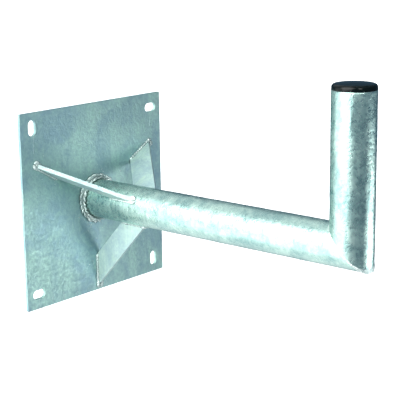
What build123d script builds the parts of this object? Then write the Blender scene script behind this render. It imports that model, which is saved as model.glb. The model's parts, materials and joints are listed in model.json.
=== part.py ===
from build123d import *
import os
from math import cos, radians, sin, sqrt, tan

os.makedirs("parts", exist_ok=True)

# Welded wall bracket for a satellite dish, in millimetres.
# The origin is the centre of the plate's back face. +Z is up, and the arm runs along -Y, away from the wall.

# Wall plate
plate_side = 300.0
plate_thickness = 5.0
plate_corner_radius = 2.0
plate_edge_radius = 0.8
slot_spacing = 254.0
slot_length = 24.0
slot_width = 14.0
slot_rim_radius = 0.5
vent_diameter = 16.0  # lets zinc and air through the arm when the bracket is dipped

# Tubes: the arm and the mast are cut from the same stock
tube_diameter = 60.0
tube_wall = 2.5
wall_to_mast_axis = 480.0
mast_top = 208.0  # above the arm's axis

# Flat bar braces, in radial planes round the arm
brace_angles = {"left": 150.0, "right": 30.0, "lower": 270.0}
brace_width = 35.0
brace_thickness = 6.0
brace_slope = 43.0  # degrees between the brace and the plate
brace_reach = 142.0  # from the arm's axis to the brace's far end on the plate
brace_edge_radius = 0.6

# Weld beads
root_weld_leg = 10.5
brace_weld_leg = 3.5
mitre_weld_height = 1.2
mitre_weld_half_width = 2.5

# Push-in end cap
cap_radius = 29.8
cap_height = 9.2
cap_crown_rise = 1.2
cap_crown_bulge = 0.3  # how far the crown stands above a straight line from its centre to its rim
cap_rim_radius = 4.8
cap_head_thickness = 3.0
plug_length = 22.0
plug_radius = 26.0
plug_wall = 2.0
fin_clearance = 0.3
fin_thickness = 1.2
fin_pitch = 6.0
fin_count = 3

# Worked out from the sizes above
tube_radius = tube_diameter / 2
bore_radius = tube_radius - tube_wall
slot_offset = slot_spacing / 2
mast_foot = (0, -wall_to_mast_axis, -tube_diameter)
mitre_plane = Plane(origin=(0, -wall_to_mast_axis, 0), x_dir=(1, 0, 0), z_dir=(0, 1, -1))
slope = tan(radians(brace_slope))
brace_foot = brace_width / sin(radians(brace_slope))
foot_near = brace_reach - brace_foot
brace_inner_radius = tube_radius / 2  # each bar is drawn in to here, then cut back to the arm


def radial_plane(angle):
    """Plane through the arm's axis. Its x runs outwards from that axis, and its y runs away from the wall."""
    outward = (cos(radians(angle)), 0, sin(radians(angle)))
    across = (sin(radians(angle)), 0, -cos(radians(angle)))
    return Plane(origin=(0, 0, 0), x_dir=outward, z_dir=across)


def brace_section_plane(angle, distance):
    """Plane square to a brace's foot line. Its x runs across the brace, and its y runs away from the wall."""
    plane = radial_plane(angle)
    return Plane(origin=plane.x_dir * distance, x_dir=-plane.z_dir, z_dir=plane.x_dir)


def depth_on_brace(reach, radius):
    """Distance from the wall of a brace's edge that starts at this reach, where it crosses this radius."""
    return plate_thickness + (reach - radius) * slope


with BuildPart() as wall_plate:
    with BuildSketch(Plane.XZ):
        RectangleRounded(plate_side, plate_side, plate_corner_radius)
    extrude(amount=plate_thickness)
    fillet(wall_plate.faces().filter_by(Axis.Y).edges(), plate_edge_radius)
    with BuildSketch(Plane.XZ):
        for side, level, turn in ((-1, 1, 90), (1, 1, 0), (-1, -1, 0), (1, -1, 90)):
            with Locations((side * slot_offset, level * slot_offset)):
                SlotOverall(slot_length, slot_width, rotation=turn)
        Circle(vent_diameter / 2)
    extrude(amount=plate_thickness, mode=Mode.SUBTRACT)
    flat_faces = wall_plate.faces().filter_by(Axis.Y)
    rims = [edge for face in flat_faces for wire in face.inner_wires() for edge in wire.edges()]
    fillet(rims, slot_rim_radius)
wall_plate.part.label = "wall_plate"
export_step(wall_plate.part, "parts/wall_plate.step")

with BuildPart() as arm_tube:
    with BuildSketch(Plane.XZ.offset(plate_thickness)):
        Circle(tube_radius)
        Circle(bore_radius, mode=Mode.SUBTRACT)
    extrude(amount=wall_to_mast_axis + tube_diameter)
    split(bisect_by=mitre_plane, keep=Keep.TOP)
arm_tube.part.label = "arm_tube"
export_step(arm_tube.part, "parts/arm_tube.step")

with BuildPart() as mast_tube:
    with BuildSketch(Plane(origin=mast_foot)):
        Circle(tube_radius)
        Circle(bore_radius, mode=Mode.SUBTRACT)
    extrude(amount=mast_top + tube_diameter)
    split(bisect_by=mitre_plane, keep=Keep.BOTTOM)
mast_tube.part.label = "mast_tube"
export_step(mast_tube.part, "parts/mast_tube.step")

with BuildPart() as arm_root_weld:
    with BuildSketch(radial_plane(0)):
        with BuildLine():
            Polyline(
                (tube_radius, plate_thickness),
                (tube_radius + root_weld_leg, plate_thickness),
                (tube_radius, plate_thickness + root_weld_leg),
                close=True,
            )
        make_face()
    revolve(axis=Axis.Y)
arm_root_weld.part.label = "arm_root_weld"
export_step(arm_root_weld.part, "parts/arm_root_weld.step")

# The bead follows both tubes, so it is one elliptical ring pushed along the arm and along the mast.
with BuildPart() as mitre_weld:
    with BuildSketch(mitre_plane) as mitre_ring:
        Ellipse(tube_radius + mitre_weld_height, (tube_radius + mitre_weld_height) * sqrt(2))
        Ellipse(tube_radius, tube_radius * sqrt(2), mode=Mode.SUBTRACT)
    extrude(amount=mitre_weld_half_width * sqrt(2), dir=(0, 1, 0))
    extrude(mitre_ring.sketch, amount=mitre_weld_half_width * sqrt(2), dir=(0, 0, 1))
mitre_weld.part.label = "mitre_weld"
export_step(mitre_weld.part, "parts/mitre_weld.step")

for brace_name, angle in brace_angles.items():
    with BuildPart() as brace:
        with BuildSketch(radial_plane(angle)):
            with BuildLine():
                Polyline(
                    (brace_reach, plate_thickness),
                    (foot_near, plate_thickness),
                    (brace_inner_radius, depth_on_brace(foot_near, brace_inner_radius)),
                    (brace_inner_radius, depth_on_brace(brace_reach, brace_inner_radius)),
                    close=True,
                )
            make_face()
        extrude(amount=brace_thickness / 2, both=True)
        run = radial_plane(angle).from_local_coords(Vector(-1, slope, 0))
        fillet(brace.edges().filter_by(Axis((0, 0, 0), run)), brace_edge_radius)
        with BuildSketch(Plane.XZ):
            Circle(tube_radius)
        extrude(amount=wall_to_mast_axis, mode=Mode.SUBTRACT)
    brace.part.label = f"{brace_name}_brace"
    export_step(brace.part, f"parts/{brace_name}_brace.step")

    for number, side in ((1, 1), (2, -1)):
        face = side * brace_thickness / 2
        toe = side * (brace_thickness / 2 + brace_weld_leg)
        with BuildPart() as plate_weld:
            with BuildSketch(brace_section_plane(angle, foot_near)):
                with BuildLine():
                    Polyline(
                        (face, plate_thickness),
                        (toe, plate_thickness),
                        (face, plate_thickness + brace_weld_leg),
                        close=True,
                    )
                make_face()
            extrude(amount=brace_foot - brace_weld_leg / slope)
        plate_weld.part.label = f"{brace_name}_brace_plate_weld_{number}"
        export_step(plate_weld.part, f"parts/{brace_name}_brace_plate_weld_{number}.step")

        bead_start = depth_on_brace(foot_near, tube_radius)
        bead_end = depth_on_brace(brace_reach, tube_radius + brace_weld_leg)
        with BuildPart() as tube_weld:
            outward = radial_plane(angle).x_dir
            with BuildSketch(Plane(origin=(0, -bead_start, 0), x_dir=outward, z_dir=(0, -1, 0))):
                with BuildLine():
                    Polyline(
                        (tube_radius - brace_weld_leg, face),
                        (tube_radius + brace_weld_leg, face),
                        (tube_radius - brace_weld_leg, toe + side * brace_weld_leg),
                        close=True,
                    )
                make_face()
                Circle(tube_radius, mode=Mode.SUBTRACT)
            extrude(amount=bead_end - bead_start)
        tube_weld.part.label = f"{brace_name}_brace_tube_weld_{number}"
        export_step(tube_weld.part, f"parts/{brace_name}_brace_tube_weld_{number}.step")

with BuildPart() as end_cap:
    cap_plane = Plane(origin=(0, -wall_to_mast_axis, mast_top), x_dir=(1, 0, 0), z_dir=(0, -1, 0))
    shoulder_height = cap_height - cap_crown_rise
    shoulder = cap_radius - cap_rim_radius
    head_under = cap_height - cap_head_thickness
    with BuildSketch(cap_plane):
        with BuildLine():
            SagittaArc((0, cap_height), (shoulder, shoulder_height), -cap_crown_bulge)
            CenterArc((shoulder, shoulder_height - cap_rim_radius), cap_rim_radius, 0, 90)
            Polyline(
                (cap_radius, shoulder_height - cap_rim_radius),
                (cap_radius, 0),
                (plug_radius, 0),
                (plug_radius, -plug_length),
                (plug_radius - plug_wall, -plug_length),
                (plug_radius - plug_wall, head_under),
                (0, head_under),
                (0, cap_height),
            )
        make_face()
        for fin in range(fin_count):
            low = -plug_length + fin_pitch / 2 + fin * fin_pitch
            with Locations((plug_radius - plug_wall / 2, low)):
                Rectangle(
                    bore_radius - fin_clearance - plug_radius + plug_wall / 2,
                    fin_thickness,
                    align=(Align.MIN, Align.MIN),
                )
    revolve(axis=Axis((0, -wall_to_mast_axis, 0), (0, 0, 1)))
end_cap.part.label = "end_cap"
export_step(end_cap.part, "parts/end_cap.step")
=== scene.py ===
import json
from math import cos, pi, radians, sin, sqrt

import bpy
import numpy as np
from mathutils import Matrix, Vector


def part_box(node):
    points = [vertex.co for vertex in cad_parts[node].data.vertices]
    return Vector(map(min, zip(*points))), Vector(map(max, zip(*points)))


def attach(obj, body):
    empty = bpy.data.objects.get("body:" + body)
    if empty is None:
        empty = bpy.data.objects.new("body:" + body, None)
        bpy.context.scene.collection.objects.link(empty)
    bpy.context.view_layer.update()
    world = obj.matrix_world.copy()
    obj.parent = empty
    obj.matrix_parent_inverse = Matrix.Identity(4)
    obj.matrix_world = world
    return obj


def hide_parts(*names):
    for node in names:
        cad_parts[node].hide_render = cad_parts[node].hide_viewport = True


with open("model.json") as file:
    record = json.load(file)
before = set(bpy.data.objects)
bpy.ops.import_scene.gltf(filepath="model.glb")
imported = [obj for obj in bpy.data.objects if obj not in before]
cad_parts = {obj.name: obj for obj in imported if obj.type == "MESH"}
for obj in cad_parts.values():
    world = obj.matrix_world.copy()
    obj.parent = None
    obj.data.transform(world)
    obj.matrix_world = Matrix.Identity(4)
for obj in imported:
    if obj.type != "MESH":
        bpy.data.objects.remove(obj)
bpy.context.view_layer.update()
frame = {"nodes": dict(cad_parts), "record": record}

# Welded and hot-dip galvanised wall bracket for a satellite dish, in metres.
# The plate's back is at Y 0, the arm runs along -Y, and the mast stands up from the arm's end.

MM = 0.001

# ---------------------------------------------------------------- sizes read from the frame
plate_low, plate_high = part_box("wall_plate")
mast_low, mast_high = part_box("mast_tube")
brace_low, brace_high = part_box("lower_brace")
cap_low, cap_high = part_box("end_cap")

PLATE_HALF = plate_high.x
PLATE_FRONT = plate_low.y
TUBE_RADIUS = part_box("arm_tube")[1].x
MAST_AXIS_Y = (mast_low.y + mast_high.y) / 2
MAST_TOP = mast_high.z
ROOT_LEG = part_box("arm_root_weld")[1].x - TUBE_RADIUS
BRACE_THICKNESS = brace_high.x - brace_low.x
BRACE_REACH = -brace_low.z
BRACE_TOP_DEPTH = PLATE_FRONT - brace_low.y
BRACE_RISE = BRACE_TOP_DEPTH / (BRACE_REACH - TUBE_RADIUS)
CAP_RADIUS = cap_high.x
CAP_TOP = cap_high.z
PLUG_BOTTOM = cap_low.z

# ---------------------------------------------------------------- sizes of what the frame doesn't show
TUBE_WALL = 2.5 * MM
BRACE_WIDTH = 35 * MM
BRACE_LEG = 3.5 * MM
BRACE_ANGLES = {"left": 150, "right": 30, "lower": 270}
BRACE_FOOT = BRACE_WIDTH * sqrt(1 + BRACE_RISE**2) / BRACE_RISE
BRACE_FOOT_START = BRACE_REACH - BRACE_FOOT
BRACE_JOIN_START = (BRACE_FOOT_START - TUBE_RADIUS) * BRACE_RISE
FULL_TURN = 2 * pi
TUBE_SIDES = 160

# Runs of zinc on the tubes: the turn round the tube, the distance from the wall or the height on the mast,
# the half angle and the half length.
ARM_DRIPS = (
    (radians(268), 0.150, 0.16, 15 * MM),
    (radians(262), 0.236, 0.12, 9 * MM),
    (radians(275), 0.331, 0.14, 12 * MM),
    (radians(214), 0.284, 0.30, 5 * MM),
    (radians(232), 0.405, 0.28, 4 * MM),
    (radians(161), 0.357, 0.34, 4 * MM),
    (radians(196), 0.188, 0.22, 5 * MM),
)
MAST_DRIPS = (
    (radians(205), 0.171, 0.07, 13 * MM),
    (radians(229), 0.120, 0.06, 22 * MM),
    (radians(187), 0.064, 0.07, 18 * MM),
    (radians(262), 0.093, 0.08, 26 * MM),
    (radians(300), 0.040, 0.07, 20 * MM),
    (radians(20), 0.130, 0.09, 24 * MM),
    (radians(95), 0.085, 0.08, 19 * MM),
)


# ================================================================ meshes


def skin(rings, joined=False):
    """Skin over a stack of closed rings, where rings[i, j] is point j of ring i.

    Neighbouring rings are joined by a band of four-sided faces. A joined stack's last ring meets its first.
    Otherwise each end is closed by a fan to the middle of its ring. The signed volume, a sixth of the sum of
    a . (b x c) over the triangles, tells whether the faces point outwards, and they are turned round if not.
    """
    count, around = rings.shape[:2]
    points = rings.reshape(-1, 3)
    bands = count if joined else count - 1
    here = np.arange(bands)[:, None] * around
    there = (np.arange(bands)[:, None] + 1) % count * around
    first = np.arange(around)[None, :]
    second = (first + 1) % around
    quads = np.stack((here + first, here + second, there + second, there + first), -1).reshape(-1, 4)
    faces = quads.tolist()
    triangles = [quads[:, [0, 1, 2]], quads[:, [0, 2, 3]]]
    if not joined:
        middle = len(points)
        points = np.vstack((points, rings[0].mean(0), rings[-1].mean(0)))
        first, second = first.ravel(), second.ravel()
        start = np.stack((second, first, np.full(around, middle)), -1)
        last = (count - 1) * around
        end = np.stack((last + first, last + second, np.full(around, middle + 1)), -1)
        faces += start.tolist() + end.tolist()
        triangles += [start, end]
    a, b, c = points[np.vstack(triangles)].transpose(1, 0, 2)
    if np.einsum("ij,ij->", a, np.cross(b, c)) < 0:
        faces = [face[::-1] for face in faces]
    return points, faces


def piece(name, shells, material, body, slot, *nodes):
    """One object made of one or more closed shells. It rides on a body and stands for the CAD nodes named."""
    points, faces, offset = [], [], 0
    for shell_points, shell_faces in shells:
        points.append(shell_points)
        faces += [[index + offset for index in face] for face in shell_faces]
        offset += len(shell_points)
    mesh = bpy.data.meshes.new(name)
    mesh.from_pydata(np.vstack(points).tolist(), [], faces)
    mesh.shade_smooth()
    mesh.materials.append(material)
    made = bpy.data.objects.new(name, mesh)
    bpy.context.scene.collection.objects.link(made)
    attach(made, body)
    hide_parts(*nodes)


def waves(turn, along, count, longest, height, seed):
    """Gentle unevenness over a tube: a sum of sines in whole turns round it and in any pitch along it.

    Each sine's height is in proportion to its own pitch, so short waves are also shallow.
    """
    draw = np.random.default_rng(seed)
    total = np.zeros(np.broadcast(turn, along).shape)
    for _ in range(count):
        lobes = draw.integers(-5, 6)
        pitch = longest * draw.uniform(0.15, 1)
        phase = draw.uniform(0, FULL_TURN)
        total += np.sin(lobes * turn + FULL_TURN * along / pitch + phase) * pitch / longest
    return total * height / sqrt(count)


def drips(turn, along, places, height):
    """Runs of zinc on a tube: a sum of bell-shaped ridges, one for each place."""
    total = np.zeros(np.broadcast(turn, along).shape)
    for centre, level, wide, tall in places:
        off = (turn - centre + pi) % FULL_TURN - pi
        total += np.exp(-((off / wide) ** 2) - ((along - level) / tall) ** 2)
    return height * total


def tube_wall_section(steps_out, steps_in):
    """Closed outline of a tube's wall: the share of the tube's length, and the share of the wall's depth.

    It runs along the outside, straight across the cut end, back along the bore and across the other end.
    """
    rim_steps = 5
    outside = np.linspace(0, 1, steps_out)
    bore = np.linspace(1, 0, steps_in)
    rim = np.linspace(0, 1, rim_steps + 2)[1:-1]
    share = np.concatenate((outside, np.ones(rim_steps), bore, np.zeros(rim_steps)))
    depth = np.concatenate((np.zeros(steps_out), rim, np.ones(steps_in), rim[::-1]))
    return share, depth


def arm_shell():
    """The arm: a circle of the tube's radius carried along -Y, with a wall inside it.

    The far end is cut by the mitre plane, so a point at height z ends at Y = mast axis + z. The zinc's waves
    and runs are added to the outside's radius, and fade out at both ends.
    """
    turn = np.linspace(0, FULL_TURN, TUBE_SIDES, endpoint=False)[:, None]
    share, depth = tube_wall_section(steps_out=200, steps_in=24)
    radius = TUBE_RADIUS - TUBE_WALL * depth
    end = -MAST_AXIS_Y - radius * np.sin(turn)
    along = -PLATE_FRONT + share * (end + PLATE_FRONT)
    outer = depth == 0
    edge = np.minimum(share, 1 - share)
    fade_over = 0.02
    fade = np.clip(edge / fade_over, 0, 1)
    uneven = waves(turn, along, count=26, longest=90 * MM, height=0.16 * MM, seed=4)
    runs = drips(turn, along, ARM_DRIPS, height=0.42 * MM)
    radius = radius + outer * fade * (uneven + runs)
    return skin(np.stack((radius * np.cos(turn), -along, radius * np.sin(turn)), -1), joined=True)


def mast_shell():
    """The mast: a circle of the tube's radius carried up Z from the mitre plane, with a wall inside it.

    The foot is cut by the mitre plane, so a point at Y = mast axis + d starts at height d. The zinc's waves
    and runs are added to the outside's radius, and fade out at both ends.
    """
    turn = np.linspace(0, FULL_TURN, TUBE_SIDES, endpoint=False)[:, None]
    share, depth = tube_wall_section(steps_out=110, steps_in=18)
    radius = TUBE_RADIUS - TUBE_WALL * depth
    start = radius * np.sin(turn)
    along = start + share * (MAST_TOP - start)
    outer = depth == 0
    edge = np.minimum(share, 1 - share)
    fade_over = 0.03
    fade = np.clip(edge / fade_over, 0, 1)
    uneven = waves(turn, along, count=26, longest=80 * MM, height=0.16 * MM, seed=9)
    runs = drips(turn, along, MAST_DRIPS, height=0.4 * MM)
    radius = radius + outer * fade * (uneven + runs)
    points = np.stack((radius * np.cos(turn), MAST_AXIS_Y + radius * np.sin(turn), along), -1)
    return skin(points, joined=True)


def scale_of_puddles(place):
    """One for each drop of a weld pass: a row of rounded humps with sharp valleys, |sin(pi x)| to the 0.6."""
    return np.abs(np.sin(pi * place)) ** 0.6


def root_weld_shell():
    """The two weld passes round the arm's foot, twisted like a rope.

    In polar form about the corner between plate and tube, the bead's height over the angle a is
    leg x (0.44 + ridge x (0.1 + 0.42 x puddles) + unevenness). The ridge is |sin 4a| to the 0.8, which makes
    two passes with a valley at 45 degrees. The puddles of one pass lean one way and those of the other lean
    the other way.
    """
    puddles = 24
    turn = np.linspace(0, FULL_TURN, 600, endpoint=False)[:, None]
    angle = np.linspace(0, pi / 2, 33)[None, :]
    ridge = np.abs(np.sin(4 * angle)) ** 0.8
    on_tube = angle > pi / 4
    lean = np.where(on_tube, 0.35 - 1.1 * (angle - pi / 4), 1.1 * angle)
    uneven = 0.05 * np.sin(3 * turn + 0.7) + 0.04 * np.sin(7 * turn + 2.1) + 0.03 * np.sin(11 * turn)
    drift = 0.32 * np.sin(2 * turn + 0.4) + 0.2 * np.sin(5 * turn + 1.3)
    hump = scale_of_puddles(puddles * turn / FULL_TURN + drift + lean)
    height = ROOT_LEG * (0.44 + ridge * (0.1 + 0.42 * hump) + uneven)
    out = TUBE_RADIUS + height * np.cos(angle)
    away = height * np.sin(angle)
    sunk = 1.2 * MM
    tail = np.ones_like(turn)
    out = np.hstack((out, (TUBE_RADIUS - sunk) * tail, (TUBE_RADIUS - sunk) * tail, out[:, :1]))
    away = np.hstack((away, away[:, -1:], -sunk * tail, -sunk * tail))
    return skin(np.stack((out * np.cos(turn), PLATE_FRONT - away, out * np.sin(turn)), -1), joined=True)


def mitre_weld_shell():
    """The dressed seam round the mitre, with a rough patch at the outer corner.

    The seam is the ellipse where both tubes meet. Across it, p runs from -1 on the arm to 1 on the mast, the
    bead's foot follows the tubes for its half width, and its height is crest x (1 - p^2) x (1 + ripple).
    A bell curve round the seam's outer corner widens the bead and makes it rougher.
    """
    crest = 0.55 * MM
    sunk = 0.9 * MM
    turn = np.linspace(0, FULL_TURN, 420, endpoint=False)[:, None]
    across = np.linspace(-1, 1, 17)[None, :]
    seam = np.stack((np.cos(turn), np.sin(turn), np.sin(turn)), -1) * TUBE_RADIUS
    seam[..., 1] += MAST_AXIS_Y
    outward = np.stack((2 * np.cos(turn), np.sin(turn), np.sin(turn)), -1)
    outward /= np.linalg.norm(outward, axis=-1, keepdims=True)
    off = (turn + pi / 2 + pi) % FULL_TURN - pi
    corner = np.exp(-((off / 0.6) ** 2))
    half_width = (1.7 + 5.5 * corner) * MM
    ripple = 0.25 * np.sin(46 * turn + 1.7 * across) + 0.18 * np.sin(83 * turn - 2.6 * across)
    rough = 0.5 * np.sin(31 * turn + 5 * across) * np.sin(17 * turn - 3 * across + 1)
    height = crest * (1 - across**2) * (1 + ripple + corner * (0.5 + 1.2 * rough))
    along_arm = np.maximum(-across, 0) * half_width
    up_mast = np.maximum(across, 0) * half_width
    foot = seam + np.stack((np.zeros_like(along_arm), along_arm, up_mast), -1)
    top = foot + outward * height[..., None]
    under = foot[:, ::-1] - outward * sunk
    return skin(np.concatenate((top, under), 1), joined=True)


def fillet_bead(start, along, across, up, length, half_thickness, leg, seed):
    """A short fillet weld along one face of a flat bar, which curls round the bar's outer end.

    The path is a straight run of the given length at half the bar's thickness from its middle, then a quarter
    circle round the end. In polar form about the path, in the plane of its outward normal and up, the bead's
    height over the angle a is leg x (0.66 + 0.17 sin 2a) x (0.86 + 0.26 x puddles + wobble). It swells in a
    bell curve where the bend starts, and shrinks to a rounded tip at both ends.
    """
    draw = np.random.default_rng(seed)
    curl = half_thickness * pi / 2
    whole = length + curl
    place = np.linspace(0, whole, 90)[:, None]
    bend = np.clip((place - length) / half_thickness, 0, pi / 2)
    straight = np.minimum(place, length)
    angle = np.linspace(-0.12, pi / 2 + 0.12, 17)[None, :]
    forward = straight + half_thickness * np.sin(bend)
    sideways = half_thickness * np.cos(bend)
    puddle = scale_of_puddles(place / (4.6 * MM) + 0.35 * angle + draw.uniform())
    wobble = 0.07 * np.sin(place / (5.1 * MM) + draw.uniform(0, FULL_TURN))
    tip = np.sqrt(np.clip(1 - (np.abs(2 * place / whole - 1)) ** 12, 0.02, 1))
    lump = 1 + 0.55 * np.exp(-(((place - length) / (5 * MM)) ** 2))
    height = leg * tip * lump * (0.66 + 0.17 * np.sin(2 * angle)) * (0.86 + 0.26 * puddle + wobble)
    push = height * np.cos(angle)
    rise = height * np.sin(angle)
    sunk = 1.0 * MM * np.ones_like(place)
    inward = np.where(bend > 0, half_thickness, sunk)
    push = np.hstack((push, -inward, -inward, push[:, :1]))
    rise = np.hstack((rise, rise[:, -1:], -sunk, -sunk))
    start, along, across, up = (np.array(v, float) for v in (start, along, across, up))
    ahead = forward + push * np.sin(bend)
    beside = sideways + push * np.cos(bend)
    points = ahead[..., None] * along + beside[..., None] * across + rise[..., None] * up
    return skin(start + points)


def cap_shell():
    """The push-in cap, its outline turned about the mast's axis.

    The crown is a shallow parabola and the rim a quarter circle. Then come the skirt, the short ledge on the
    tube's end, the hollow plug with three soft fins, and the underside of the head. A fin stands out by its
    depth x (1 - (distance from its middle / half its width)^4).
    """
    rim = 4.8 * MM
    shoulder = CAP_RADIUS - rim
    crown_rise = 1.2 * MM
    step = np.linspace(0.03, 1, 22)
    crown_r = shoulder * step
    crown_z = CAP_TOP - crown_rise * step**2
    quarter = np.linspace(0, pi / 2, 14)[1:]
    rim_r = shoulder + rim * np.sin(quarter)
    rim_z = CAP_TOP - crown_rise - rim * (1 - np.cos(quarter))
    heel = 0.35 * MM
    heel_r = CAP_RADIUS - heel * (1 - np.cos(quarter))
    heel_z = MAST_TOP + heel * (1 - np.sin(quarter))
    plug_radius, plug_wall = 26 * MM, 2 * MM
    fin_depth, fin_pitch, fin_half = 1.2 * MM, 6 * MM, 1 * MM
    first_fin, plain_neck = 3.6 * MM, 4 * MM
    plug_z = np.linspace(MAST_TOP, PLUG_BOTTOM + 1 * MM, 96)
    fin_place = (plug_z - PLUG_BOTTOM - first_fin) % fin_pitch
    fin_place = np.minimum(fin_place, fin_pitch - fin_place)
    fin = np.clip(1 - (fin_place / fin_half) ** 4, 0, 1) * (plug_z < MAST_TOP - plain_neck)
    plug_r = plug_radius + fin_depth * fin
    lip = np.linspace(0, pi, 9)
    lip_r = plug_radius - plug_wall / 2 + plug_wall / 2 * np.cos(lip)
    lip_z = PLUG_BOTTOM + 1 * MM * (1 - np.sin(lip))
    head_under = CAP_TOP - 3 * MM
    bore_z = np.linspace(PLUG_BOTTOM + 1.5 * MM, head_under - 1 * MM, 10)
    bore_r = np.full_like(bore_z, plug_radius - plug_wall)
    under_r = (plug_radius - plug_wall) * np.linspace(0.97, 0.03, 12)
    under_z = np.full_like(under_r, head_under)
    radius = np.concatenate((crown_r, rim_r, heel_r, plug_r, lip_r, bore_r, under_r))
    level = np.concatenate((crown_z, rim_z, heel_z, plug_z, lip_z, bore_z, under_z))
    turn = np.linspace(0, FULL_TURN, 144, endpoint=False)[None, :]
    radius, level = radius[:, None], level[:, None] * np.ones_like(turn)
    return skin(np.stack((radius * np.cos(turn), MAST_AXIS_Y + radius * np.sin(turn), level), -1))


def spatter_shells():
    """Beads of weld spatter frozen under the zinc: small balls round the welds on the plate.

    A ball's middle is behind the plate's face by a share of its radius, so just under half of it shows.
    """
    round_arm, round_brace = 46, 14
    sunk = 0.15
    draw = np.random.default_rng(21)
    turn = np.linspace(0, FULL_TURN, 9, endpoint=False)[None, :]
    rise = np.linspace(0.12, pi - 0.12, 6)[:, None]
    ball = (np.sin(rise) * np.cos(turn), np.cos(rise) + 0 * turn, np.sin(rise) * np.sin(turn))
    ball = np.stack(ball, -1)
    shells = []
    for _ in range(round_arm):
        angle = draw.uniform(0, FULL_TURN)
        far = TUBE_RADIUS + ROOT_LEG + draw.exponential(9 * MM) + 1 * MM
        size = draw.uniform(0.35, 0.9) * MM
        centre = np.array((far * cos(angle), PLATE_FRONT + sunk * size, far * sin(angle)))
        shells.append(skin(centre + ball * size))
    for angle in BRACE_ANGLES.values():
        outward = np.array((cos(radians(angle)), 0, sin(radians(angle))))
        across = np.array((sin(radians(angle)), 0, -cos(radians(angle))))
        for _ in range(round_brace):
            far = draw.uniform(BRACE_FOOT_START - 8 * MM, BRACE_REACH + 4 * MM)
            side = draw.choice((-1, 1)) * (BRACE_THICKNESS / 2 + BRACE_LEG + draw.exponential(4 * MM))
            size = draw.uniform(0.3, 0.8) * MM
            centre = outward * far + across * side
            centre[1] = PLATE_FRONT + sunk * size
            shells.append(skin(centre + ball * size))
    return shells


def run_shell(x, top, length, width, height):
    """A tear-shaped run of zinc down the plate, flat behind.

    Over the share s of its length, its half width is width x (0.35 + 0.65 s^2) x end, and it stands out by
    height x (0.3 + 0.7 s^2) x (1 - a^2) x end, where a runs from -1 to 1 across it and end is
    sqrt(1 - s^14).
    """
    sunk = 0.3 * MM
    share = np.linspace(0.01, 0.995, 26)[:, None]
    across = np.linspace(-1, 1, 11)[None, :]
    end = np.sqrt(1 - share**14)
    half = width * (0.35 + 0.65 * share**2) * end
    raised = height * (0.3 + 0.7 * share**2) * (1 - across**2) * end
    sway = 0.35 * width * np.sin(5 * share + 40 * x)
    down = top - length * share + 0 * across
    front = np.stack((x + sway + half * across, PLATE_FRONT - raised, down), -1)
    back = front[:, ::-1].copy()
    back[..., 1] = PLATE_FRONT + sunk
    return skin(np.concatenate((front, back), 1))


# ================================================================ materials


def put(tree, kind, inputs=None, **settings):
    """Adds a node. Each input is linked if it is given a socket, and set if it is given a value."""
    made = tree.nodes.new(kind)
    for name, value in settings.items():
        setattr(made, name, value)
    for name, value in (inputs or {}).items():
        if isinstance(value, bpy.types.NodeSocket):
            tree.links.new(value, made.inputs[name])
        else:
            made.inputs[name].default_value = value
    return made


def maths(tree, operation, first, second, clamp=False):
    """One sum on two values or sockets, and its result."""
    return put(tree, "ShaderNodeMath", {0: first, 1: second}, operation=operation, use_clamp=clamp).outputs[0]


def blend(tree, mask, first, second):
    """The first colour where the mask is 0, the second where it is 1."""
    return put(tree, "ShaderNodeMix", {0: mask, 6: first, 7: second}, data_type="RGBA").outputs[2]


def spread(tree, value, low, high, new_low=0.0, new_high=1.0):
    """Maps low to new_low and high to new_high, smoothly and within those limits."""
    inputs = {"Value": value, "From Min": low, "From Max": high, "To Min": new_low, "To Max": new_high}
    return put(tree, "ShaderNodeMapRange", inputs, interpolation_type="SMOOTHSTEP").outputs[0]


def new_group(name, inputs, outputs):
    """An empty node group with these named inputs, as (kind, value), and outputs, as kind.

    It comes with the node that gives its inputs and the one that takes its outputs.
    """
    tree = bpy.data.node_groups.new(name, "ShaderNodeTree")
    for title, (kind, value) in inputs.items():
        made = tree.interface.new_socket(title, in_out="INPUT", socket_type=kind)
        if value is not None:
            made.default_value = value
    for title, kind in outputs.items():
        tree.interface.new_socket(title, in_out="OUTPUT", socket_type=kind)
    return tree, tree.nodes.new("NodeGroupInput"), tree.nodes.new("NodeGroupOutput")


def use(tree, group, inputs):
    """Places a node group in a tree with its own values, and returns its first output."""
    return put(tree, "ShaderNodeGroup", inputs, node_tree=group).outputs[0]


def bump(tree, height, depth, strength=1.0, under=None):
    """A normal raised by a height mask to the given depth, on top of the normal under it if there is one."""
    inputs = {"Height": height, "Distance": depth, "Strength": strength}
    if under is not None:
        inputs["Normal"] = under
    return put(tree, "ShaderNodeBump", inputs).outputs[0]


FLOAT = "NodeSocketFloat"
VECTOR = "NodeSocketVector"


def make_clouds():
    """Soft cloudy patches of any size: fractal noise, with its middle range stretched to 0..1."""
    tree, given, result = new_group(
        "zinc clouds",
        {"Vector": (VECTOR, None), "Size": (FLOAT, 0.05), "Softness": (FLOAT, 0.3), "Swirl": (FLOAT, 0.4)},
        {"Mask": FLOAT},
    )
    scale = maths(tree, "DIVIDE", 1.0, given.outputs["Size"])
    noise = put(
        tree,
        "ShaderNodeTexNoise",
        {
            "Vector": given.outputs["Vector"],
            "Scale": scale,
            "Detail": 4.0,
            "Roughness": 0.58,
            "Distortion": given.outputs["Swirl"],
        },
    )
    low = maths(tree, "SUBTRACT", 0.5, given.outputs["Softness"])
    high = maths(tree, "ADD", 0.5, given.outputs["Softness"])
    tree.links.new(spread(tree, noise.outputs[0], low, high), result.inputs["Mask"])
    return tree


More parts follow.
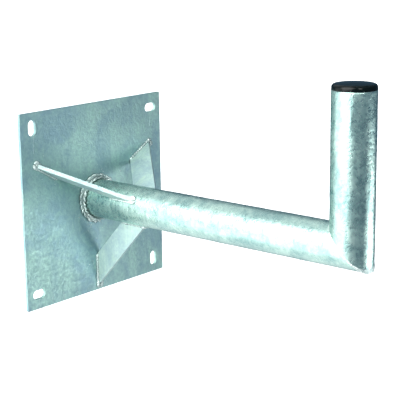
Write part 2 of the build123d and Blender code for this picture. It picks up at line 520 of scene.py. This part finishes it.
def make_streaks():
    """Streaks that hang down: noise squeezed to Width across and drawn out to Length along Z."""
    tree, given, result = new_group(
        "zinc streaks",
        {"Vector": (VECTOR, None), "Width": (FLOAT, 0.003), "Length": (FLOAT, 0.06)},
        {"Mask": FLOAT},
    )
    wide = maths(tree, "DIVIDE", 1.0, given.outputs["Width"])
    tall = maths(tree, "DIVIDE", 1.0, given.outputs["Length"])
    squeeze = put(tree, "ShaderNodeCombineXYZ", {0: wide, 1: wide, 2: tall})
    drawn = put(
        tree,
        "ShaderNodeVectorMath",
        {0: given.outputs["Vector"], 1: squeeze.outputs[0]},
        operation="MULTIPLY",
    )
    noise = put(tree, "ShaderNodeTexNoise", {"Vector": drawn.outputs[0], "Scale": 1.0, "Detail": 3.0})
    tree.links.new(spread(tree, noise.outputs[0], 0.36, 0.68), result.inputs["Mask"])
    return tree


def make_grain():
    """The fine crystalline grain of dipped zinc: small rounded cells, broken up by noise of the same size."""
    tree, given, result = new_group(
        "zinc grain",
        {"Vector": (VECTOR, None), "Size": (FLOAT, 0.002), "Break": (FLOAT, 0.5)},
        {"Mask": FLOAT},
    )
    scale = maths(tree, "DIVIDE", 1.0, given.outputs["Size"])
    cells = put(
        tree,
        "ShaderNodeTexVoronoi",
        {"Vector": given.outputs["Vector"], "Scale": scale, "Smoothness": 0.7, "Randomness": 1.0},
        feature="SMOOTH_F1",
    )
    noise = put(
        tree,
        "ShaderNodeTexNoise",
        {"Vector": given.outputs["Vector"], "Scale": scale, "Detail": 3.0, "Roughness": 0.6},
    )
    inputs = {"Factor": given.outputs["Break"], "A": cells.outputs[0], "B": noise.outputs[0]}
    mixed = put(tree, "ShaderNodeMix", inputs, data_type="FLOAT")
    tree.links.new(spread(tree, mixed.outputs[0], 0.15, 0.8), result.inputs["Mask"])
    return tree


def make_edge_highlight_mask():
    """Where an edge is near: how far the normal turns when it is averaged over the given radius. It places
    the painted highlight along edges.
    """
    tree, given, result = new_group(
        "painted edge highlight", {"Radius": (FLOAT, 0.001), "Gain": (FLOAT, 3.0)}, {"Mask": FLOAT}
    )
    rounded = put(tree, "ShaderNodeBevel", {"Radius": given.outputs["Radius"]}, samples=6)
    true_normal = put(tree, "ShaderNodeNewGeometry")
    agree = put(
        tree,
        "ShaderNodeVectorMath",
        {0: rounded.outputs[0], 1: true_normal.outputs["Normal"]},
        operation="DOT_PRODUCT",
    )
    turned = maths(tree, "SUBTRACT", 1.0, agree.outputs["Value"])
    gained = maths(tree, "MULTIPLY", turned, given.outputs["Gain"], clamp=True)
    tree.links.new(gained, result.inputs["Mask"])
    return tree


def make_dust():
    """Dust that settles on what faces up, in soft patches."""
    tree, given, result = new_group(
        "settled dust",
        {"Vector": (VECTOR, None), "Size": (FLOAT, 0.01), "Amount": (FLOAT, 0.3)},
        {"Mask": FLOAT},
    )
    scale = maths(tree, "DIVIDE", 1.0, given.outputs["Size"])
    noise = put(
        tree,
        "ShaderNodeTexNoise",
        {"Vector": given.outputs["Vector"], "Scale": scale, "Detail": 6.0, "Roughness": 0.7},
    )
    facing = put(tree, "ShaderNodeNewGeometry")
    parts = put(tree, "ShaderNodeSeparateXYZ", {0: facing.outputs["Normal"]})
    upward = spread(tree, parts.outputs["Z"], 0.2, 1.0)
    patches = spread(tree, noise.outputs[0], 0.42, 0.7)
    lying = maths(tree, "MULTIPLY", upward, patches)
    tree.links.new(maths(tree, "MULTIPLY", lying, given.outputs["Amount"]), result.inputs["Mask"])
    return tree


def make_crevice_shade_mask():
    """Where pieces meet and in the valleys of a weld: how much of the space within Reach is closed in. Its
    mask places painted shade there.
    """
    tree, given, result = new_group("crevice_shade", {"Reach": (FLOAT, 0.004)}, {"Mask": FLOAT})
    space = put(tree, "ShaderNodeAmbientOcclusion", {"Distance": given.outputs["Reach"]}, samples=8)
    tree.links.new(spread(tree, space.outputs["AO"], 0.85, 0.35), result.inputs["Mask"])
    return tree


CLOUDS = make_clouds()
STREAKS = make_streaks()
GRAIN = make_grain()
EDGE_HIGHLIGHT_MASK = make_edge_highlight_mask()
DUST = make_dust()
CREVICE_SHADE_MASK = make_crevice_shade_mask()
# Painted highlight: the pale colour that edges are blended towards.
EDGE_HIGHLIGHT_COLOUR = (0.86, 0.95, 0.92, 1)
# Painted shade: the dark colour that closed-in corners and weld valleys are blended towards.
CREVICE_SHADE_COLOUR = (0.10, 0.17, 0.18, 1)


def new_material(name):
    """An empty material with a Principled surface, and the socket of its Object coordinates."""
    made = bpy.data.materials.new(name)
    made.use_nodes = True
    tree = made.node_tree
    tree.nodes.clear()
    shader = tree.nodes.new("ShaderNodeBsdfPrincipled")
    output = tree.nodes.new("ShaderNodeOutputMaterial")
    tree.links.new(shader.outputs[0], output.inputs[0])
    place = tree.nodes.new("ShaderNodeTexCoord").outputs["Object"]
    return made, tree, shader, place


def zinc(name, body, shade, bloom, patch, grain, speckle, rough, relief, metallic):
    """Hot-dip galvanised steel.

    body, shade and bloom are its three tones: the plain zinc, the blue-grey patches and the pale ones. patch
    is the size of the largest clouds, grain that of the fine crystals, speckle the share of shade in the dark
    flecks, rough the lowest and highest roughness, and relief the depth of the crystals, of the flecks and of
    the small clouds. A painted highlight makes edges paler, and painted shade darkens corners that are closed
    in. Dipped zinc is partly a dull oxide, so metallic is below 1.
    """
    made, tree, shader, place = new_material(name)
    large = use(tree, CLOUDS, {"Vector": place, "Size": patch, "Softness": 0.11, "Swirl": 0.7})
    small = use(tree, CLOUDS, {"Vector": place, "Size": patch / 5, "Softness": 0.2, "Swirl": 1.2})
    fleck = use(tree, CLOUDS, {"Vector": place, "Size": grain * 3, "Softness": 0.2, "Swirl": 0.0})
    streak = use(tree, STREAKS, {"Vector": place, "Width": patch / 9, "Length": patch * 1.4})
    crystals = use(tree, GRAIN, {"Vector": place, "Size": grain, "Break": 0.55})
    edge_highlight = use(tree, EDGE_HIGHLIGHT_MASK, {"Radius": 0.0012, "Gain": 2.5})
    crevice_shade = use(tree, CREVICE_SHADE_MASK, {"Reach": 0.004})
    tone = blend(tree, large, body, shade)
    tone = blend(tree, maths(tree, "MULTIPLY", small, 0.5), tone, bloom)
    tone = blend(tree, maths(tree, "MULTIPLY", streak, 0.35), tone, shade)
    tone = blend(tree, maths(tree, "MULTIPLY", fleck, speckle), tone, shade)
    # Painted highlight: edges are blended towards a pale colour.
    tone = blend(tree, maths(tree, "MULTIPLY", edge_highlight, 0.6), tone, EDGE_HIGHLIGHT_COLOUR)
    # Painted shade: closed-in corners and weld valleys are darkened.
    tone = blend(tree, maths(tree, "MULTIPLY", crevice_shade, 0.4), tone, CREVICE_SHADE_COLOUR)
    tree.links.new(tone, shader.inputs["Base Color"])
    shader.inputs["Metallic"].default_value = metallic
    wear = maths(tree, "ADD", maths(tree, "MULTIPLY", small, 0.5), maths(tree, "MULTIPLY", fleck, 0.5))
    tree.links.new(spread(tree, wear, 0.1, 0.9, rough[0], rough[1]), shader.inputs["Roughness"])
    fine = bump(tree, crystals, relief[0])
    pitted = bump(tree, fleck, relief[1], under=fine)
    broad = bump(tree, small, relief[2], under=pitted)
    tree.links.new(broad, shader.inputs["Normal"])
    return made


def cap_plastic():
    """Black moulded polyethylene: glossy, with a faint mould grain, soft scuffs and a little dust."""
    made, tree, shader, place = new_material("cap black plastic")
    grain = use(tree, GRAIN, {"Vector": place, "Size": 0.0007, "Break": 0.7})
    scuffs = use(tree, CLOUDS, {"Vector": place, "Size": 0.012, "Softness": 0.14, "Swirl": 2.0})
    dust = use(tree, DUST, {"Vector": place, "Size": 0.006, "Amount": 0.05})
    tone = blend(tree, scuffs, (0.002, 0.004, 0.004, 1), (0.004, 0.007, 0.007, 1))
    tone = blend(tree, dust, tone, (0.2, 0.26, 0.24, 1))
    tree.links.new(tone, shader.inputs["Base Color"])
    rough = maths(tree, "ADD", spread(tree, scuffs, 0.0, 1.0, 0.05, 0.1), dust)
    tree.links.new(rough, shader.inputs["Roughness"])
    shader.inputs["IOR"].default_value = 1.38
    shader.inputs["Specular IOR Level"].default_value = 0.28
    tree.links.new(bump(tree, grain, 0.00001, strength=0.5), shader.inputs["Normal"])
    return made


PLATE_ZINC = zinc(
    "galvanised plate",
    body=(0.43, 0.66, 0.58, 1),
    shade=(0.26, 0.42, 0.47, 1),
    bloom=(0.52, 0.79, 0.69, 1),
    patch=0.09,
    grain=0.0016,
    speckle=0.4,
    rough=(0.42, 0.6),
    relief=(0.00009, 0.0001, 0.0002),
    metallic=0.7,
)
TUBE_ZINC = zinc(
    "galvanised tube",
    body=(0.64, 0.87, 0.76, 1),
    shade=(0.3, 0.5, 0.48, 1),
    bloom=(0.76, 0.96, 0.86, 1),
    patch=0.05,
    grain=0.0013,
    speckle=0.45,
    rough=(0.23, 0.36),
    relief=(0.00008, 0.00011, 0.00009),
    metallic=0.88,
)
BAR_ZINC = zinc(
    "galvanised flat bar",
    body=(0.66, 0.86, 0.75, 1),
    shade=(0.44, 0.62, 0.64, 1),
    bloom=(0.76, 0.94, 0.84, 1),
    patch=0.04,
    grain=0.0014,
    speckle=0.4,
    rough=(0.4, 0.55),
    relief=(0.00009, 0.0001, 0.00014),
    metallic=0.6,
)
WELD_ZINC = zinc(
    "galvanised weld",
    body=(0.86, 0.97, 0.91, 1),
    shade=(0.44, 0.58, 0.55, 1),
    bloom=(0.94, 0.99, 0.96, 1),
    patch=0.014,
    grain=0.0009,
    speckle=0.4,
    rough=(0.24, 0.38),
    relief=(0.00005, 0.00008, 0.0002),
    metallic=0.6,
)
CAP_BLACK = cap_plastic()


# ================================================================ the bracket


def weld_braces():
    """Two beads on the plate and two on the arm for each brace, one on each face of the bar."""
    seed = 100
    for brace, degrees in BRACE_ANGLES.items():
        angle = radians(degrees)
        outward = Vector((cos(angle), 0, sin(angle)))
        across = Vector((sin(angle), 0, -cos(angle)))
        away = Vector((0, -1, 0))
        foot = outward * BRACE_FOOT_START + away * -PLATE_FRONT
        half = BRACE_THICKNESS / 2
        seat = sqrt(TUBE_RADIUS**2 - half**2)
        join = outward * seat + away * (-PLATE_FRONT + BRACE_JOIN_START)
        join_length = BRACE_TOP_DEPTH - BRACE_JOIN_START
        for number, side in ((1, -1), (2, 1)):
            seed += 1
            shell = fillet_bead(foot, outward, across * side, away, BRACE_FOOT, half, BRACE_LEG, seed)
            node = f"{brace}_brace_plate_weld_{number}"
            piece(node + "_bead", [shell], WELD_ZINC, "bracket", "galvanised_weld", node)
            shell = fillet_bead(join, away, across * side, outward, join_length, half, BRACE_LEG, seed + 50)
            node = f"{brace}_brace_tube_weld_{number}"
            piece(node + "_bead", [shell], WELD_ZINC, "bracket", "galvanised_weld", node)


def zinc_runs():
    """Runs of zinc on the plate: one below each slot, and short ones that end near its lower edge."""
    below_slot, edge_gap = 3 * MM, 1 * MM
    lower_runs = 16
    draw = np.random.default_rng(5)
    runs = []
    for opening in frame["record"]["physics"]["openings"]:
        if opening["name"].startswith("slot_"):
            low, high = opening["box_m"]
            middle = (low[0] + high[0]) / 2
            top = low[2] - below_slot
            length = min(top + PLATE_HALF - edge_gap, draw.uniform(14, 30) * MM)
            runs.append(run_shell(middle + draw.uniform(-3, 3) * MM, top, length, 1.3 * MM, 0.35 * MM))
    for _ in range(lower_runs):
        x = draw.uniform(-0.94, 0.94) * PLATE_HALF
        length = draw.uniform(6, 15) * MM
        width = draw.uniform(1.0, 2.2) * MM
        runs.append(run_shell(x, -PLATE_HALF + edge_gap + length, length, width, 0.4 * MM))
    return runs


def build_bracket():
    """The bracket and its cap: new skins where a piece needs relief, and new finishes where it doesn't."""
    frame["nodes"]["wall_plate"].material_slots[0].material = PLATE_ZINC
    for brace in BRACE_ANGLES:
        frame["nodes"][f"{brace}_brace"].material_slots[0].material = BAR_ZINC
    piece("arm_dipped_tube", [arm_shell()], TUBE_ZINC, "bracket", "galvanised_tube", "arm_tube")
    piece("mast_dipped_tube", [mast_shell()], TUBE_ZINC, "bracket", "galvanised_tube", "mast_tube")
    piece("arm_root_bead", [root_weld_shell()], WELD_ZINC, "bracket", "galvanised_weld", "arm_root_weld")
    piece("mitre_bead", [mitre_weld_shell()], WELD_ZINC, "bracket", "galvanised_weld", "mitre_weld")
    weld_braces()
    piece("weld_spatter", spatter_shells(), WELD_ZINC, "bracket", "galvanised_weld")
    piece("plate_zinc_runs", zinc_runs(), PLATE_ZINC, "bracket", "galvanised_plate")
    piece("end_cap_moulding", [cap_shell()], CAP_BLACK, "cap", "cap_plastic", "end_cap")


# ================================================================ stage, light and camera


def build_stage():
    """A wide pale floor, a round sheet well below the bracket. It glows enough to lose its horizon."""
    level, radius, sides = -0.75, 40, 96
    turn = np.linspace(0, FULL_TURN, sides, endpoint=False)
    rim = np.stack((radius * np.cos(turn), radius * np.sin(turn), np.full(sides, level)), -1)
    mesh = bpy.data.meshes.new("floor")
    mesh.from_pydata(rim.tolist(), [], [list(range(sides))])
    floor = bpy.data.objects.new("floor", mesh)
    bpy.context.scene.collection.objects.link(floor)
    floor.visible_glossy = False
    floor.visible_diffuse = False
    made, tree, shader, place = new_material("pale floor")
    mottle = use(tree, CLOUDS, {"Vector": place, "Size": 0.8, "Softness": 0.4, "Swirl": 0.0})
    tone = blend(tree, mottle, (0.93, 0.94, 0.94, 1), (0.95, 0.95, 0.95, 1))
    tree.links.new(tone, shader.inputs["Base Color"])
    shader.inputs["Roughness"].default_value = 0.9
    shader.inputs["Specular IOR Level"].default_value = 0.0
    shader.inputs["Emission Color"].default_value = (1, 1, 1, 1)
    shader.inputs["Emission Strength"].default_value = 0.55
    mesh.materials.append(made)


def softbox(name, centre, aim, size, watts):
    """A large soft lamp at a point, turned to another point. It isn't seen by the camera itself."""
    lamp = bpy.data.lights.new(name, "AREA")
    lamp.shape = "RECTANGLE"
    lamp.size, lamp.size_y = size
    lamp.energy = watts
    made = bpy.data.objects.new(name, lamp)
    bpy.context.scene.collection.objects.link(made)
    made.location = centre
    made.rotation_mode = "QUATERNION"
    made.rotation_quaternion = (Vector(aim) - Vector(centre)).to_track_quat("-Z", "Y")
    made.visible_camera = False


def glow(tree, direction, aim, start, full, strength):
    """Soft light from one side of the room: none at the start cosine from the aim, all of it at the full."""
    inputs = {0: direction, 1: Vector(aim).normalized()}
    toward = put(tree, "ShaderNodeVectorMath", inputs, operation="DOT_PRODUCT")
    return spread(tree, toward.outputs["Value"], start, full, 0.0, strength)


ROOM_DIM = 0.16
ROOM_TINT = (0.3, 0.64, 1.0, 1)
ROOM_GLOWS = (
    # aim, start cosine, full cosine, strength
    ((-0.8, 0.1, 0.6), 0.75, 0.98, 6.0),  # high on the left
    ((-0.75, 0.6, -0.1), 0.7, 0.97, 1.5),  # level, on the left and behind
    ((0.15, 0.6, 0.8), 0.75, 1.0, 0.7),  # above and behind
    ((-0.42, -0.8, 0.45), 0.975, 0.995, 10.0),  # small, above and in front
    ((-0.2, 0.3, -1.0), 0.3, 0.95, 1.2),  # from below
)


def build_light():
    """Soft studio light: a dim cool room with soft glows round it, and two soft lamps."""
    world = bpy.data.worlds.new("studio")
    bpy.context.scene.world = world
    world.use_nodes = True
    tree = world.node_tree
    tree.nodes.clear()
    direction = put(tree, "ShaderNodeTexCoord").outputs["Generated"]
    strength = 0.0
    for aim, start, full, amount in ROOM_GLOWS:
        strength = maths(tree, "ADD", glow(tree, direction, aim, start, full, amount), strength)
    glows = put(tree, "ShaderNodeBackground", {"Color": (1.0, 0.99, 0.97, 1), "Strength": strength})
    dim = put(tree, "ShaderNodeBackground", {"Color": ROOM_TINT, "Strength": ROOM_DIM})
    room = put(tree, "ShaderNodeAddShader", {0: glows.outputs[0], 1: dim.outputs[0]})
    backdrop = put(tree, "ShaderNodeBackground", {"Color": (1, 1, 1, 1), "Strength": 1.0})
    seen = put(tree, "ShaderNodeLightPath").outputs["Is Camera Ray"]
    mixed = put(tree, "ShaderNodeMixShader", {0: seen, 1: room.outputs[0], 2: backdrop.outputs[0]})
    tree.links.new(mixed.outputs[0], put(tree, "ShaderNodeOutputWorld").inputs[0])
    softbox("left softbox", (-1.7, -0.3, 0.3), (0, -0.25, 0), (1.6, 1.4), 15)
    softbox("low card", (0.52, -1.0, -0.3), (0, MAST_AXIS_Y, -0.1), (0.55, 0.5), 3.5)
    bpy.context.scene.view_settings.view_transform = "Standard"


def build_camera():
    """The camera, about 1.7 m from the bracket, in front of it and to its left, and a little above."""
    turn, tilt, roll = radians(-49.35), radians(13.2), radians(-0.73)
    target = Vector((0, -0.2, 0.05))
    distance, to_the_right, lower = 1.70506, 0.01442, 0.02567
    back = Vector((sin(turn) * cos(tilt), -cos(turn) * cos(tilt), sin(tilt)))
    level = Vector((cos(turn), sin(turn), 0))
    upright = back.cross(level)
    right = cos(roll) * level + sin(roll) * upright
    up = cos(roll) * upright - sin(roll) * level
    place = target + back * distance + right * to_the_right - up * lower
    camera = bpy.data.cameras.new("camera")
    camera.sensor_width = 36
    camera.lens = 105.58
    made = bpy.data.objects.new("camera", camera)
    bpy.context.scene.collection.objects.link(made)
    made.matrix_world = Matrix((right, up, back)).transposed().to_4x4()
    made.location = place
    bpy.context.scene.camera = made


build_bracket()
build_stage()
build_light()
build_camera()

bpy.context.view_layer.update()
